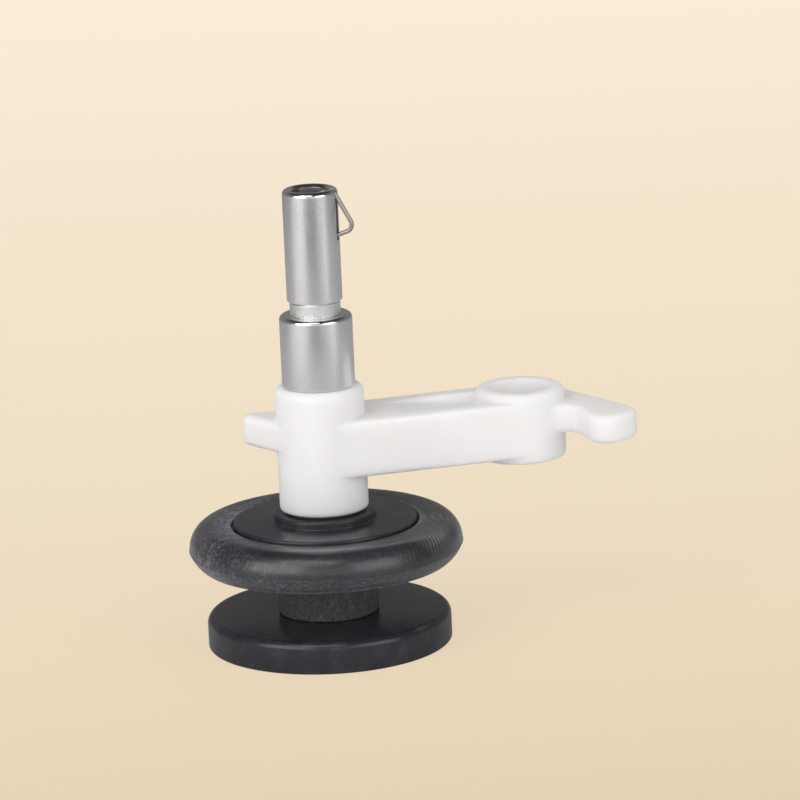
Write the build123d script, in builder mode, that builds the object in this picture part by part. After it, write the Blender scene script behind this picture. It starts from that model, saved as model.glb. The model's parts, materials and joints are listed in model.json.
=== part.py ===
"""Bobbin winder: a sprung chrome spindle in a moulded arm, driven by a rubber-tyred wheel.

Frame: the spindle stands along +Z with its axis on the origin, the underside of
the base disc lies on z = 0, and the arm reaches out along +X to its pivot boss.
All lengths are millimetres and all angles are degrees.
"""
from build123d import *
import os
from math import cos, radians, sin, sqrt, tan

# ---------------------------------------------------------------- driving sizes

# Clearances shared by every fit.
running_clearance = 0.04        # radial, shaft turning in the arm
seat_clearance = 0.02           # radial, parts pushed onto the shaft or hub
end_float = 0.05                # axial, arm between shoulder and thrust washer

# Base disc.
disc_radius = 13.3
disc_thickness = 3.5
disc_top_rounding = 0.88
disc_bottom_rounding = 0.25
disc_recess_radius = 6.2
disc_recess_depth = 1.8

# Spacer sleeve between the disc and the wheel.
sleeve_radius = 5.45
sleeve_length = 5.6
sleeve_edge = 0.2

# Wheel hub.
hub_flange_radius = 10.0
hub_flange_thickness = 1.0
hub_groove_radius = 8.8
hub_thickness = 4.73
hub_flange_rounding = 0.22
hub_collar_radius = 5.55
hub_collar_height = 0.91
hub_collar_rounding = 0.25

# Friction tyre. Heights are above the underside of the hub.
tyre_crown_radius = 12.55
tyre_crown_height = 4.56
tyre_bulge = 2.39               # crown circle to the widest point
tyre_widest_height = 1.75
tyre_lip_gap = 0.24             # open groove round the hub flange
tyre_lip_drop = 0.22            # inner lip below the crown
tyre_foot_radius = 13.6
tyre_flank_sagitta = 0.16       # fullness of the flank under the widest point
tyre_foot_rounding = 0.3

# Spindle shaft.
journal_radius = 2.5
drive_flat_distance = 2.05      # axis to the flat that drives the wheel
shoulder_radius = 3.95
shoulder_length = 7.82
shoulder_rounding = 0.5
relief_radius = 2.75
relief_length = 1.38
seat_radius = 3.0
seat_length = 12.37
seat_rim_rounding = 0.5
seat_foot_chamfer = 0.3
largest_chamfer_share = 0.9     # of the step down to the relief
shaft_end_height = 0.3          # shaft end above the disc's underside
shaft_end_chamfer = 0.3

# Blind bore and spring slot in the top of the spindle.
spindle_bore_radius = 2.0
spindle_bore_depth = 12.0
spindle_bore_chamfer = 0.3
drill_point_angle = 118.0
slot_side_clearance = 0.04
slot_end_clearance = 0.06       # below the spring's lower leg
slot_direction = -35.0          # about the spindle axis, from the arm

# Bobbin spring, one bent wire in the plane of the slot. Its bends are given as
# (distance out from the spindle axis, depth below the spindle's top).
wire_radius = 0.24
spring_bends = [(-0.7, 2.95), (-0.15, 1.35), (1.45, 0.31), (2.76, 0.31), (4.97, 4.23), (2.6, 5.16), (1.1, 5.28)]
spring_bend_radii = [0.6, 0.6, 0.45, 0.8, 0.5]

# Thrust washer between the arm and the hub collar.
thrust_washer_radius = 4.3
thrust_washer_thickness = 0.25

# Retaining washer and ring under the disc.
retaining_washer_radius = 4.9
retaining_washer_thickness = 0.4
ring_groove_radius = 1.95
ring_groove_width = 0.56
ring_thickness = 0.5
ring_radius = 4.2
ring_band = 0.85
ring_lobe_width = 1.5
ring_lobes = 3
first_lobe_angle = 75.0         # from the middle of the mouth
ring_mouth_width = 3.4

# Winder arm. The web's height is above the foot of the spindle boss, and the
# pivot boss, the cam nose and the detent finger are set from the web's faces.
arm_length = 22.64              # spindle axis to pivot axis
spindle_boss_radius = 4.83
spindle_boss_length = 13.71
spindle_boss_top_rounding = 0.85
spindle_boss_foot_rounding = 0.25
pivot_boss_radius = 4.88
pivot_boss_rise = 0.82          # above the web
pivot_boss_drop = 0.76          # below the web
pivot_boss_top_rounding = 0.7
pivot_boss_foot_rounding = 0.45
pivot_bore_radius = 3.15
pivot_bore_rounding = 0.3
web_height = 4.02
web_thickness = 6.23
web_edge_rounding = 0.5
pocket_wall = 2.25
pocket_depth = 1.15             # at the pivot boss, running out to nothing
pocket_start = 7.4              # from the spindle axis

# Cam nose on the spindle boss.
cam_drop = 0.3                  # below the web's top
cam_thickness = 3.4
cam_reach = 7.67                # spindle axis to the nose's centre
cam_direction = 142.1
cam_nose_radius = 1.33
cam_edge_rounding = 0.75

# Detent finger on the pivot boss. Its plan is set out from the pivot axis.
finger_drop = 0.77              # below the web's top
finger_thickness = 3.15
finger_lean = 21.5              # outer edge from square across the arm
finger_outer_distance = 7.0     # pivot axis to the outer edge
finger_inner_distance = 4.65    # pivot axis to the inner edge
finger_reach = 13.36            # pivot axis to the end, along the outer edge
finger_tip_radius = 3.0
finger_heel_radius = 2.2
finger_throat_radius = 2.0
finger_back_radius = 2.6
finger_edge_rounding = 0.75

# --------------------------------------------------------------- derived levels

disc_top = disc_thickness
hub_foot = disc_top + sleeve_length
hub_top = hub_foot + hub_thickness
collar_top = hub_top + hub_collar_height
thrust_washer_top = collar_top + thrust_washer_thickness
boss_foot = thrust_washer_top + end_float
boss_top = boss_foot + spindle_boss_length
shoulder_foot = boss_top + end_float
shoulder_top = shoulder_foot + shoulder_length
seat_foot = shoulder_top + relief_length
spindle_top = seat_foot + seat_length
slot_depth = spring_bends[-1][1] + wire_radius + slot_end_clearance
web_foot = boss_foot + web_height
web_top = web_foot + web_thickness
pivot_boss_top = web_top + pivot_boss_rise
pivot_boss_foot = web_foot - pivot_boss_drop
cam_top = web_top - cam_drop
cam_foot = cam_top - cam_thickness
finger_top = web_top - finger_drop
finger_foot = finger_top - finger_thickness
retaining_washer_foot = disc_recess_depth - retaining_washer_thickness
ring_top = retaining_washer_foot - (ring_groove_width - ring_thickness) / 2
ring_groove_top = retaining_washer_foot
journal_bore_radius = journal_radius + running_clearance
push_bore_radius = journal_radius + seat_clearance

os.makedirs("parts", exist_ok=True)


def drive_profile(clearance):
    """Section of the shaft's driven length: a circle with one flat facing +X."""
    radius = journal_radius + clearance
    flat = drive_flat_distance + clearance
    with BuildSketch() as profile:
        with BuildLine():
            half_chord = sqrt(radius**2 - flat**2)
            Line((flat, -half_chord), (flat, half_chord))
            ThreePointArc((flat, half_chord), (-radius, 0), (flat, -half_chord))
        make_face()
    return profile.sketch


def edges_at(part, height, tolerance=0.01):
    """Edges of a part that lie wholly in the horizontal plane at a height."""
    return part.edges().filter_by_position(Axis.Z, height - tolerance, height + tolerance)


def finish(builder, name):
    """Label a finished piece and write it out."""
    builder.part.label = name
    export_step(builder.part, f"parts/{name}.step")


# ------------------------------------------------------------------- base disc

with BuildPart() as base_disc:
    Cylinder(disc_radius, disc_thickness, align=(Align.CENTER, Align.CENTER, Align.MIN))
    fillet(edges_at(base_disc, disc_top), disc_top_rounding)
    fillet(edges_at(base_disc, 0), disc_bottom_rounding)
    with BuildSketch():
        Circle(disc_recess_radius)
    extrude(amount=disc_recess_depth, mode=Mode.SUBTRACT)
    with BuildSketch(Plane.XY.offset(disc_recess_depth)):
        add(drive_profile(seat_clearance))
    extrude(amount=disc_thickness, mode=Mode.SUBTRACT)
finish(base_disc, "base_disc")

# --------------------------------------------------------------- spacer sleeve

with BuildPart() as spacer_sleeve:
    with BuildSketch(Plane.XY.offset(disc_top)):
        Circle(sleeve_radius)
        Circle(push_bore_radius, mode=Mode.SUBTRACT)
    extrude(amount=sleeve_length)
    outer_edges = spacer_sleeve.edges().filter_by(GeomType.CIRCLE).sort_by(SortBy.RADIUS)[-2:]
    chamfer(outer_edges, sleeve_edge)
finish(spacer_sleeve, "spacer_sleeve")

# ------------------------------------------------------------------- wheel hub

with BuildPart() as wheel_hub:
    with BuildSketch(Plane.XZ):
        with BuildLine():
            Polyline(
                (0, hub_foot),
                (hub_flange_radius, hub_foot),
                (hub_flange_radius, hub_foot + hub_flange_thickness),
                (hub_groove_radius, hub_foot + hub_flange_thickness),
                (hub_groove_radius, hub_top - hub_flange_thickness),
                (hub_flange_radius, hub_top - hub_flange_thickness),
                (hub_flange_radius, hub_top),
                (hub_collar_radius, hub_top),
                (hub_collar_radius, collar_top),
                (0, collar_top),
                close=True,
            )
        make_face()
    revolve(axis=Axis.Z)
    flange_rims = edges_at(wheel_hub, hub_top).sort_by(SortBy.RADIUS)[-1:]
    flange_rims += edges_at(wheel_hub, hub_foot).sort_by(SortBy.RADIUS)[-1:]
    fillet(flange_rims, hub_flange_rounding)
    fillet(edges_at(wheel_hub, collar_top), hub_collar_rounding)
    with BuildSketch(Plane.XY.offset(hub_foot)):
        add(drive_profile(seat_clearance))
    extrude(amount=collar_top - hub_foot, mode=Mode.SUBTRACT)
finish(wheel_hub, "wheel_hub")

# --------------------------------------------------------------- friction tyre

crown = (tyre_crown_radius, hub_foot + tyre_crown_height)
widest = (tyre_crown_radius + tyre_bulge, hub_foot + tyre_widest_height)
foot = (tyre_foot_radius, hub_foot)
inner_radius = hub_flange_radius + tyre_lip_gap
lip = (inner_radius, crown[1] - tyre_lip_drop)
tongue_radius = hub_groove_radius + seat_clearance
tongue_foot = hub_foot + hub_flange_thickness + seat_clearance
tongue_top = hub_top - hub_flange_thickness - seat_clearance
quarter_turn = 90

with BuildPart() as friction_tyre:
    with BuildSketch(Plane.XZ) as tyre_section:
        with BuildLine():
            SagittaArc(foot, widest, -tyre_flank_sagitta)
            EllipticalCenterArc(
                (crown[0], widest[1]), tyre_bulge, crown[1] - widest[1], start_angle=0, arc_size=quarter_turn
            )
            TangentArc(crown, lip, tangent=(-1, 0))
            Polyline(
                lip,
                (inner_radius, tongue_top),
                (tongue_radius, tongue_top),
                (tongue_radius, tongue_foot),
                (inner_radius, tongue_foot),
                (inner_radius, hub_foot),
                foot,
            )
        make_face()
        foot_corner = tyre_section.vertices().sort_by_distance(foot)[0]
        fillet(foot_corner, tyre_foot_rounding)
    revolve(axis=Axis.Z)
finish(friction_tyre, "friction_tyre")

# --------------------------------------------------------------- spindle shaft

with BuildPart() as spindle_shaft:
    with BuildSketch(Plane.XZ):
        with BuildLine():
            Polyline(
                (0, shaft_end_height),
                (journal_radius, shaft_end_height),
                (journal_radius, shoulder_foot),
                (shoulder_radius, shoulder_foot),
                (shoulder_radius, shoulder_top),
                (relief_radius, shoulder_top),
                (relief_radius, seat_foot),
                (seat_radius, seat_foot),
                (seat_radius, spindle_top),
                (0, spindle_top),
                close=True,
            )
        make_face()
    revolve(axis=Axis.Z)
    fillet(edges_at(spindle_shaft, spindle_top), seat_rim_rounding)
    fillet(edges_at(spindle_shaft, shoulder_top).sort_by(SortBy.RADIUS)[-1:], shoulder_rounding)
    foot_length = min(seat_foot_chamfer, largest_chamfer_share * (seat_radius - relief_radius))
    chamfer(edges_at(spindle_shaft, seat_foot).sort_by(SortBy.RADIUS)[-1:], foot_length)
    chamfer(edges_at(spindle_shaft, shaft_end_height), shaft_end_chamfer)

    # The driven length below the arm has one flat.
    with BuildSketch(Plane.XY.offset(shaft_end_height)):
        Circle(journal_radius + seat_clearance)
        add(drive_profile(0), mode=Mode.SUBTRACT)
    extrude(amount=collar_top - shaft_end_height, mode=Mode.SUBTRACT)

    # Groove for the retaining ring.
    with BuildSketch(Plane.XY.offset(ring_groove_top)):
        Circle(journal_radius + seat_clearance)
        Circle(ring_groove_radius, mode=Mode.SUBTRACT)
    extrude(amount=-ring_groove_width, mode=Mode.SUBTRACT)

    # Drilled bore with its countersunk mouth.
    with BuildSketch(Plane.XZ):
        with BuildLine():
            cone_depth = spindle_bore_radius / tan(radians(drill_point_angle / 2))
            bore_foot = spindle_top - spindle_bore_depth
            Polyline(
                (0, bore_foot - cone_depth),
                (spindle_bore_radius, bore_foot),
                (spindle_bore_radius, spindle_top - spindle_bore_chamfer),
                (spindle_bore_radius + spindle_bore_chamfer, spindle_top),
                (0, spindle_top),
                close=True,
            )
        make_face()
    revolve(axis=Axis.Z, mode=Mode.SUBTRACT)

    # Slot through one wall, open at the rim.
    slot_width = 2 * (wire_radius + slot_side_clearance)
    with BuildSketch(Plane.XY.offset(spindle_top)):
        with Locations(Rotation(0, 0, slot_direction)):
            with Locations((seat_radius, 0)):
                Rectangle(2 * (seat_radius - spindle_bore_radius / 2), slot_width)
    extrude(amount=-slot_depth, mode=Mode.SUBTRACT)
finish(spindle_shaft, "spindle_shaft")

# --------------------------------------------------------------- bobbin spring

slot_plane = Plane.XZ.rotated((0, 0, slot_direction))

with BuildPart() as bobbin_spring:
    with BuildLine(slot_plane) as wire_path:
        FilletPolyline(*[(out, spindle_top - depth) for out, depth in spring_bends], radius=spring_bend_radii)
    with BuildSketch(wire_path.line ^ 0):
        Circle(wire_radius)
    sweep(path=wire_path.line)
finish(bobbin_spring, "bobbin_spring")

# -------------------------------------------------------------- plain washers

with BuildPart() as thrust_washer:
    with BuildSketch(Plane.XY.offset(collar_top)):
        Circle(thrust_washer_radius)
        Circle(journal_bore_radius, mode=Mode.SUBTRACT)
    extrude(amount=thrust_washer_thickness)
finish(thrust_washer, "thrust_washer")

with BuildPart() as retaining_washer:
    with BuildSketch(Plane.XY.offset(retaining_washer_foot)):
        Circle(retaining_washer_radius)
        Circle(push_bore_radius, mode=Mode.SUBTRACT)
    extrude(amount=retaining_washer_thickness)
finish(retaining_washer, "retaining_washer")

# -------------------------------------------------------------- retaining ring

with BuildPart() as retaining_ring:
    ring_bore_radius = ring_groove_radius + seat_clearance
    lobe_length = ring_radius - ring_band / 2 - ring_bore_radius / 2
    with BuildSketch(Plane.XY.offset(ring_top)):
        Circle(ring_radius)
        Circle(ring_radius - ring_band, mode=Mode.SUBTRACT)
        lobe_centre_radius = ring_radius - ring_band / 2 - lobe_length / 2
        lobe_sweep = 360 - 2 * first_lobe_angle
        with PolarLocations(lobe_centre_radius, ring_lobes, first_lobe_angle, lobe_sweep, endpoint=True):
            Rectangle(lobe_length, ring_lobe_width)
        Circle(ring_bore_radius, mode=Mode.SUBTRACT)
        with Locations((ring_radius, 0)):
            Rectangle(2 * ring_radius, ring_mouth_width, mode=Mode.SUBTRACT)
    extrude(amount=-ring_thickness)
finish(retaining_ring, "retaining_ring")

# ----------------------------------------------------------------- winder arm


def rounded_plate(outline, foot, top, rounding):
    """Flat plate of the arm's moulding, with its top and foot edges rounded."""
    with BuildPart() as plate:
        with BuildSketch(Plane.XY.offset(foot)):
            add(outline)
        extrude(amount=top - foot)
        fillet(edges_at(plate, top) + edges_at(plate, foot), rounding)
    return plate.part


def round_boss(centre_x, radius, foot, top, foot_rounding, top_rounding):
    """Upright round boss of the arm's moulding, rounded at both ends."""
    with BuildPart() as boss:
        with BuildSketch(Plane.XY.offset(foot)):
            with Locations((centre_x, 0)):
                Circle(radius)
        extrude(amount=top - foot)
        fillet(edges_at(boss, top), top_rounding)
        fillet(edges_at(boss, foot), foot_rounding)
    return boss.part


def bar_outline(far_point, far_radius):
    """Plan of a bar that wraps the spindle boss and a second round end."""
    with BuildSketch() as outline:
        Circle(spindle_boss_radius)
        with Locations(far_point):
            Circle(far_radius)
        make_hull()
    return outline.sketch


def finger_outline():
    """Plan of the detent finger, from inside the pivot boss to its rounded tip."""
    lean = radians(finger_lean)
    throat_x = finger_inner_distance - finger_throat_radius
    throat_y = -sqrt((pivot_boss_radius + finger_throat_radius) ** 2 - throat_x**2)
    heel_y = (finger_inner_distance * sin(lean) - finger_reach) / cos(lean)
    tip_x = finger_outer_distance * cos(lean) + finger_reach * sin(lean)
    tip_y = finger_outer_distance * sin(lean) - finger_reach * cos(lean)
    back_x = (finger_outer_distance - pivot_boss_radius * sin(lean)) / cos(lean)
    heel = (finger_inner_distance, heel_y)
    tip = (tip_x, tip_y)
    back = (back_x, pivot_boss_radius)
    with BuildSketch() as outline:
        with BuildLine():
            Polyline(
                (0, 0),
                (throat_x, throat_y),
                (finger_inner_distance, throat_y),
                heel,
                tip,
                back,
                (0, pivot_boss_radius),
                close=True,
            )
        make_face()
        for corner, radius in ((heel, finger_heel_radius), (tip, finger_tip_radius), (back, finger_back_radius)):
            fillet(outline.vertices().sort_by_distance(corner)[0], radius)
        with Locations((throat_x, throat_y)):
            Circle(finger_throat_radius, mode=Mode.SUBTRACT)
    return outline.sketch.moved(Location((arm_length, 0)))


cam_angle = radians(cam_direction)
cam_centre = (cam_reach * cos(cam_angle), cam_reach * sin(cam_angle))
pocket_end = arm_length - pivot_boss_radius
pocket_half_width = spindle_boss_radius - pocket_wall

with BuildPart() as winder_arm:
    # Bar between the bosses, with a pocket that deepens towards the pivot.
    add(rounded_plate(bar_outline((arm_length, 0), pivot_boss_radius), web_foot, web_top, web_edge_rounding))
    with BuildSketch(Plane.XZ):
        with BuildLine():
            Polyline(
                (pocket_start, web_top),
                (pocket_end, web_top - pocket_depth),
                (arm_length, web_top - pocket_depth),
                (arm_length, pivot_boss_top),
                (pocket_start, pivot_boss_top),
                close=True,
            )
        make_face()
    extrude(amount=pocket_half_width, both=True, mode=Mode.SUBTRACT)

    # Cam nose and detent finger.
    add(rounded_plate(bar_outline(cam_centre, cam_nose_radius), cam_foot, cam_top, cam_edge_rounding))
    add(rounded_plate(finger_outline(), finger_foot, finger_top, finger_edge_rounding))

    # The two bosses.
    add(
        round_boss(
            0, spindle_boss_radius, boss_foot, boss_top, spindle_boss_foot_rounding, spindle_boss_top_rounding
        )
    )
    add(
        round_boss(
            arm_length,
            pivot_boss_radius,
            pivot_boss_foot,
            pivot_boss_top,
            pivot_boss_foot_rounding,
            pivot_boss_top_rounding,
        )
    )

    # The spindle's bore and the pivot bore.
    with BuildSketch(Plane.XY.offset(boss_foot)):
        Circle(journal_bore_radius)
    extrude(amount=boss_top - boss_foot, mode=Mode.SUBTRACT)
    with BuildSketch(Plane.XY.offset(pivot_boss_foot)):
        with Locations((arm_length, 0)):
            Circle(pivot_bore_radius)
    extrude(amount=pivot_boss_top - pivot_boss_foot, mode=Mode.SUBTRACT)
    fillet(winder_arm.edges(Select.LAST).filter_by(GeomType.CIRCLE), pivot_bore_rounding)
finish(winder_arm, "winder_arm")
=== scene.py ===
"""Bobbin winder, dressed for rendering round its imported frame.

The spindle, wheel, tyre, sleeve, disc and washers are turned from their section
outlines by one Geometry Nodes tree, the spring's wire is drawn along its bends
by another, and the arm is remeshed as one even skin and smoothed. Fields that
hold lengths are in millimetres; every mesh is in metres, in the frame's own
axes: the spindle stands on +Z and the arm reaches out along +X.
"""
import json
import logging
import math
from dataclasses import dataclass, field
from enum import Enum
from functools import partial, reduce
from typing import NamedTuple, Sequence

import bmesh
import bpy
from mathutils import Matrix, Vector


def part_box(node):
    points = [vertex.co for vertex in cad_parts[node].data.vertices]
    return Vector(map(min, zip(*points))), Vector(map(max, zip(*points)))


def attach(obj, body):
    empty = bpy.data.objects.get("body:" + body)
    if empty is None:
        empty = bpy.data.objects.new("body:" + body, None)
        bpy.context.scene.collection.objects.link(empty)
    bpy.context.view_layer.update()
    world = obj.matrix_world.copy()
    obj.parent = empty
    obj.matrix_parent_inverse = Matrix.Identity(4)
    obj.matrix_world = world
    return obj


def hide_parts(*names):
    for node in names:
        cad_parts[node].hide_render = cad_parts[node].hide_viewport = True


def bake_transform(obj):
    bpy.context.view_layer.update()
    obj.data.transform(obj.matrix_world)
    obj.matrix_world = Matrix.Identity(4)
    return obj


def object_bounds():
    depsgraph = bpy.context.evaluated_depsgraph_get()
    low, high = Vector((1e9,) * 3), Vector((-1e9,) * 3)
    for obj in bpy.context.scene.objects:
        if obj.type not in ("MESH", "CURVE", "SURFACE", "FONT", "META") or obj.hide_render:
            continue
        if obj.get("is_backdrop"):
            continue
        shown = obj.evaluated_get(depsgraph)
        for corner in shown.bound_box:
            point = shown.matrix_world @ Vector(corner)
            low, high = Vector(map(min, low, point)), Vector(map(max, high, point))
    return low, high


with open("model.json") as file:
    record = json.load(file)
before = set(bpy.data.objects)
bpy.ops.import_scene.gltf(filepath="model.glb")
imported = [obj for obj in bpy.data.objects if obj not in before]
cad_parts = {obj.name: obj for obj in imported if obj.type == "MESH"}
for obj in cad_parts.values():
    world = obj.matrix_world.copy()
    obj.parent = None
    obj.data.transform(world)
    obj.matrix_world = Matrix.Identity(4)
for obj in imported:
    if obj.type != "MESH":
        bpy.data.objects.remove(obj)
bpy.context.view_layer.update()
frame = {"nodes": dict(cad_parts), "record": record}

MM = 0.001
BODY_OF = {
    node: body for body, nodes in frame["record"]["behaviour"]["bodies"].items() for node in nodes
}
WELD, SLIVER = 2e-7, 1e-8
CREASE = 32.0
Object, Mesh, Material = bpy.types.Object, bpy.types.Mesh, bpy.types.Material
Socket = bpy.types.NodeSocket
Value = float | Socket
Span = tuple[float, float]
Triple = tuple[float, float, float]
Corner = tuple[float, ...]
ROUNDING = "rounding"
log = logging.getLogger("bobbin_winder")


# ---- small tools


class Box(NamedTuple):
    """Lowest and highest corners of a node, in millimetres."""

    low: Vector
    high: Vector


def node_box(name: str) -> Box:
    """Measure a frame node at rest, in millimetres."""
    low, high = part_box(name)
    return Box(Vector(low) / MM, Vector(high) / MM)


def put_in_scene(name: str, data: bpy.types.ID) -> Object:
    """Make an object and link it at the origin.

    Args:
        name: what the object is called.
        data: its mesh, lamp or camera.
    Returns:
        The object.
    """
    thing = bpy.data.objects.new(name, data)
    bpy.context.scene.collection.objects.link(thing)
    return thing


class Graph:
    """Adds linked nodes to one node tree."""

    MIX_COLOURS, MIX_RESULT = (6, 7), 2

    def __init__(self, tree: bpy.types.NodeTree) -> None:
        """Keep the tree that the nodes go into."""
        self.tree = tree

    def add(self, kind: str, inputs: dict | None = None, **settings: object) -> bpy.types.Node:
        """Add one node.

        Args:
            kind: the node's type name.
            inputs: socket name or index, with a value or the socket to link from.
            settings: the node's own properties.
        Returns:
            The new node.
        """
        node = self.tree.nodes.new(kind)
        for key, value in settings.items():
            setattr(node, key, value)
        for key, value in (inputs or {}).items():
            self.feed(node.inputs[key], value)
        return node

    def feed(self, socket: Socket, value: object) -> None:
        """Link a socket to another one, or set it to a plain value.

        Args:
            socket: the input.
            value: what it gets.
        """
        if isinstance(value, Socket):
            self.tree.links.new(value, socket)
        else:
            socket.default_value = value

    def out(self, kind: str, inputs: dict | None = None, **settings: object) -> Socket:
        """Add one node, as above, and give its first output."""
        return self.add(kind, inputs, **settings).outputs[0]

    def math(self, operation: str, *values: Value, clamp: bool = False) -> Socket:
        """Combine numbers by a Math node, keeping the result between 0 and 1 if clamped."""
        inputs = dict(enumerate(values))
        return self.out("ShaderNodeMath", inputs, operation=operation, use_clamp=clamp)

    def times(self, *values: Value) -> Socket:
        """Multiply numbers."""
        return reduce(partial(self.math, "MULTIPLY"), values)

    def plus(self, *values: Value, clamp: bool = False) -> Socket:
        """Add numbers, keeping each sum between 0 and 1 if clamped."""
        return reduce(partial(self.math, "ADD", clamp=clamp), values)

    def rest_of(self, value: Value) -> Socket:
        """Take a number from 1."""
        return self.math("SUBTRACT", 1.0, value)

    def vector(self, operation: str, *values: Triple | Socket) -> Socket:
        """Combine vectors, into a number for a length or a dot product."""
        node = self.add("ShaderNodeVectorMath", dict(enumerate(values)), operation=operation)
        return node.outputs["Value" if operation in ("LENGTH", "DOT_PRODUCT") else "Vector"]

    def ramp(self, value: Value, low: float, high: float) -> Socket:
        """Rise smoothly from 0 to 1 as a value goes from low to high."""
        inputs = {"Value": value, "From Min": low, "From Max": high}
        return self.out("ShaderNodeMapRange", inputs, interpolation_type="SMOOTHSTEP")

    def between(self, factor: Value, low: Value, high: Value) -> Socket:
        """Blend two numbers, low at factor 0 and high at factor 1."""
        return self.out("ShaderNodeMapRange", {"Value": factor, "To Min": low, "To Max": high})

    def mix(self, factor: Value, *colours: Triple | Socket) -> Socket:
        """Blend two colours.

        Args:
            factor: 0 gives the first colour and 1 the second.
            colours: the two colours.
        Returns:
            The blended colour.
        """
        inputs = {0: factor}
        for index, colour in zip(self.MIX_COLOURS, colours):
            inputs[index] = colour if isinstance(colour, Socket) else (*colour, 1.0)
        return self.add("ShaderNodeMix", inputs, data_type="RGBA").outputs[self.MIX_RESULT]


# ---- finishes


class Pattern(NamedTuple):
    """A noise pattern, by its features per millimetre, its octaves and their strength.

    A stretch scales its axes, for a grain, and levels are what becomes 0 and 1.
    """

    scale: float
    detail: float = 2.0
    roughness: float = 0.5
    stretch: Triple | None = None
    levels: Span | None = None


class Surface(Graph):
    """One material in the making, with its pattern coordinates in millimetres."""

    def __init__(self, name: str) -> None:
        """Start a material whose principled shader is empty.

        Args:
            name: what the material is called.
        """
        self.material = bpy.data.materials.new(name)
        self.material.use_nodes = True
        super().__init__(self.material.node_tree)
        self.shader = self.tree.nodes["Principled BSDF"]
        place = self.add("ShaderNodeTexCoord").outputs["Object"]
        self.place = self.vector("MULTIPLY", place, (1 / MM, 1 / MM, 1 / MM))
        self.x, y, self.z = self.add("ShaderNodeSeparateXYZ", {0: self.place}).outputs
        flat = self.out("ShaderNodeCombineXYZ", {0: self.x, 1: y})
        self.radius = self.vector("LENGTH", flat)

    def noise(self, pattern: Pattern, place: Socket | None = None) -> Socket:
        """Add a noise pattern.

        Args:
            pattern: its settings.
            place: coordinates, or the surface's own.
        Returns:
            The pattern's socket, about 0 to 1.
        """
        place = place or self.place
        if pattern.stretch:
            place = self.vector("MULTIPLY", place, pattern.stretch)
        inputs = {"Vector": place, "Scale": pattern.scale, "Detail": pattern.detail}
        value = self.out("ShaderNodeTexNoise", {**inputs, "Roughness": pattern.roughness})
        return self.ramp(value, *pattern.levels) if pattern.levels else value

    def specks(
        self, spacing: float, size: float, core: float = 0.4, bare: float = 0.55
    ) -> Socket:
        """Scatter small spots.

        Args:
            spacing: distance between spots, in millimetres.
            size: a spot's radius as a share of the spacing.
            core: share of that radius that is full.
            bare: share of the places that have no spot.
        Returns:
            1 in a spot and 0 elsewhere.
        """
        cells = self.add("ShaderNodeTexVoronoi", {"Vector": self.place, "Scale": 1 / spacing})
        spot = self.ramp(cells.outputs["Distance"], size, size * core)
        draw = self.out("ShaderNodeSeparateColor", {0: cells.outputs["Color"]})
        return self.times(spot, self.math("GREATER_THAN", draw, bare))

    def above(self, height: float, softness: float) -> Socket:
        """Rise from 0 to 1 across a height, over a softness, both in millimetres."""
        return self.ramp(self.z, height - softness / 2, height + softness / 2)

    def below(self, height: float, softness: float) -> Socket:
        """Fall from 1 to 0 across a height, over a softness, both in millimetres."""
        return self.rest_of(self.above(height, softness))

    def bump(self, *layers: tuple[Pattern | Socket, float]) -> None:
        """Stack height patterns on the shader's normal.

        Args:
            layers: each a pattern or a socket, with its height in millimetres.
        """
        normal = None
        for source, height in layers:
            relief = self.noise(source) if isinstance(source, Pattern) else source
            inputs = {"Height": relief, "Distance": height * MM, "Strength": 1.0}
            if normal:
                inputs["Normal"] = normal
            normal = self.out("ShaderNodeBump", inputs)
        self.set(Normal=normal)

    def set(self, **sockets: object) -> None:
        """Set or link the shader's sockets, with underscores for the spaces in their names."""
        for name, value in sockets.items():
            self.feed(self.shader.inputs[name.replace("_", " ")], value)


class Finish:
    """What every finish shares: a name, and a way of dressing a surface."""

    name: str

    def material(self) -> Material:
        """Build the material.

        Returns:
            The material, dressed.
        """
        surface = Surface(self.name)
        self.dress(surface)
        return surface.material

    def dress(self, skin: Surface) -> None:
        """Give a surface its colour, gloss and relief."""
        raise NotImplementedError


@dataclass(frozen=True)
class MilkyAcetal(Finish):
    """White moulding that lets a little light in, with a fine moulded skin."""

    name: str = "milky_acetal"
    colour: Triple = (0.872, 0.866, 0.862)
    shade: Triple = (0.842, 0.834, 0.828)
    clouds: Pattern = Pattern(0.16, 3.0, levels=(0.35, 0.7))
    flow: Pattern = Pattern(0.5, stretch=(0.35, 1.0, 1.6))
    roughness: Span = (0.58, 0.7)
    depth: float = 2.6
    bleed: Triple = (1.0, 0.87, 0.78)
    relief: tuple = ((Pattern(0.7), 0.02), (Pattern(9.0), 0.002))

    def dress(self, skin: Surface) -> None:
        """Cloud the white, let light in and give the skin its moulded relief.

        Args:
            skin: the surface in the making.
        """
        skin.set(
            Base_Color=skin.mix(skin.noise(self.clouds), self.shade, self.colour),
            Roughness=skin.between(skin.noise(self.flow), *self.roughness),
            Specular_IOR_Level=0.27,
            Subsurface_Weight=0.85,
            Subsurface_Radius=self.bleed,
            Subsurface_Scale=self.depth * MM,
            IOR=1.48,
        )
        skin.bump(*self.relief)


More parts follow.
